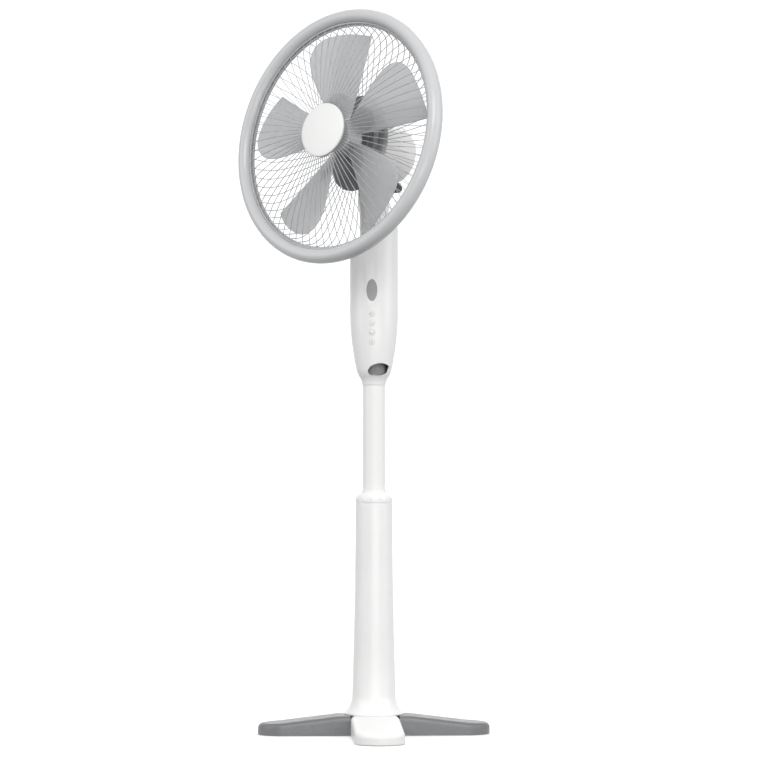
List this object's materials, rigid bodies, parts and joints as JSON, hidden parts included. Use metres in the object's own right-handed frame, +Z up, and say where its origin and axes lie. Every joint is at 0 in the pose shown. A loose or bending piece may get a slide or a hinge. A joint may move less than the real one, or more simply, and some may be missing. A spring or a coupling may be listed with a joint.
{
  "type": "pedestal fan",
  "caption": "Pedestal fan: caged impeller on a turning, tilting head, telescoping pole with a control panel, and a cross-shaped floor base.",
  "frame": {"origin": "on the floor under the pole's axis, at the centre of the base's middle pad", "axes": "+Z up along the pole, -Y along the base's front bar; the head rests turned towards -X and tilted up"},
  "size_m": [0.4377, 0.49, 1.2543],
  "materials": {
    "grey_paint": "satin",
    "white_paint": "satin",
    "white_plastic": "satin",
    "rim_plastic": "satin",
    "white_wire": "gloss",
    "black_rubber": "matt",
    "zinc_steel": "brushed",
    "dark_steel": "dull",
    "dark_plastic": "matt",
    "grey_plastic": "satin",
    "dark_grey_plastic": "satin",
    "grey_clear_plastic": "translucent",
    "dark_window": "gloss",
    "green_board": "satin",
    "cast_aluminium": "cast",
    "copper": "enamelled wire",
    "bronze": "sintered"
  },
  "bodies": {
    "base": {"base_side_bar": "grey_paint", "base_front_bar": "white_paint", "foot_pads": "black_rubber", "base_screws": "zinc_steel", "column_flange": "dark_steel", "guide_tube": "zinc_steel", "lower_column": "white_plastic", "cord_gland": "black_rubber", "guide_bush": "dark_plastic"},
    "collar": {"lock_collar": "white_plastic"},
    "column": {"pole": "white_paint", "pole_plug": "dark_plastic", "pole_clamp": "dark_plastic", "control_housing_front": "white_plastic", "control_housing_rear": "white_plastic", "housing_screws": "zinc_steel", "display_lens": "dark_window", "circuit_board": "green_board", "board_stand": "dark_plastic", "swivel_plate": "zinc_steel", "swivel_bush": "dark_plastic", "thrust_washer": "dark_plastic", "turning_motor": "zinc_steel"},
    "pinion": {"turning_pinion": "dark_plastic"},
    "neck": {"swivel_gear": "dark_plastic", "swivel_neck": "white_plastic", "swivel_clip": "zinc_steel", "tilt_pin": "zinc_steel"},
    "tilt_knob": {"tilt_knob": "dark_plastic"},
    "head": {"tilt_bracket": "white_plastic", "motor_front_shell": "white_plastic", "motor_rear_shell": "white_plastic", "front_bracket": "cast_aluminium", "rear_bracket": "cast_aluminium", "stator_core": "dark_steel", "stator_windings": "copper", "motor_spacers": "zinc_steel", "motor_bearings": "bronze", "motor_capacitor": "dark_plastic", "rear_grille": "white_wire", "clamp_plate": "dark_grey_plastic", "grille_nut": "dark_grey_plastic", "rear_rim": "rim_plastic", "front_rim": "rim_plastic", "rim_screws": "zinc_steel", "front_grille": "white_wire", "badge_cap": "white_plastic", "badge_clips": "white_plastic"},
    "rotor": {"rotor_core": "dark_steel", "motor_shaft": "zinc_steel", "impeller": "grey_clear_plastic", "drive_pin": "zinc_steel", "impeller_nut": "grey_plastic"},
    "power_button": {"power_button": "white_plastic"},
    "speed_button": {"speed_button": "white_plastic"},
    "turning_button": {"turning_button": "white_plastic"},
    "timer_button": {"timer_button": "white_plastic"}
  },
  "joints": [
    {"name": "height_slide", "type": "slide", "parent": "base", "child": "column", "axis": [0, 0, 1], "range_m": [-0.165, 0.11]},
    {"name": "collar_turn", "type": "hinge", "parent": "base", "child": "collar", "pos_m": [0, 0, 0.41], "axis": [0, 0, 1], "range_deg": [0, 40]},
    {"name": "head_turn", "type": "hinge", "parent": "column", "child": "neck", "pos_m": [0, 0, 0.846], "axis": [0, 0, 1], "range_deg": [-10, 80]},
    {"name": "pinion_spin", "type": "hinge", "parent": "column", "child": "pinion", "pos_m": [0.00376, 0.02674, 0.815], "axis": [0, 0, 1], "range_deg": [-285, 40]},
    {"name": "head_tilt", "type": "hinge", "parent": "neck", "child": "head", "pos_m": [0, 0, 0.9458], "axis": [0.7325, -0.6807, 0], "range_deg": [-11, 18.5]},
    {"name": "tilt_knob_turn", "type": "hinge", "parent": "neck", "child": "tilt_knob", "pos_m": [0, 0, 0.9458], "axis": [0.7325, -0.6807, 0], "range_deg": [0, 270]},
    {"name": "impeller_spin", "type": "hinge", "parent": "head", "child": "rotor", "pos_m": [0.00737, 0.00793, 1.01496], "axis": [-0.6725, -0.7237, 0.1547], "continuous": true},
    {"name": "power_button_press", "type": "slide", "parent": "column", "child": "power_button", "axis": [0.1392, 0.9903, 0], "range_m": [0, 0.001], "stiffness_N_per_m": 400, "springref_m": -0.002},
    {"name": "speed_button_press", "type": "slide", "parent": "column", "child": "speed_button", "axis": [0.1392, 0.9903, 0], "range_m": [0, 0.001], "stiffness_N_per_m": 400, "springref_m": -0.002},
    {"name": "turning_button_press", "type": "slide", "parent": "column", "child": "turning_button", "axis": [0.1392, 0.9903, 0], "range_m": [0, 0.001], "stiffness_N_per_m": 400, "springref_m": -0.002},
    {"name": "timer_button_press", "type": "slide", "parent": "column", "child": "timer_button", "axis": [0.1392, 0.9903, 0], "range_m": [0, 0.001], "stiffness_N_per_m": 400, "springref_m": -0.002}
  ],
  "couplings": [
    {"joint": "pinion_spin", "follows": "head_turn", "ratio": -3.5}
  ]
}
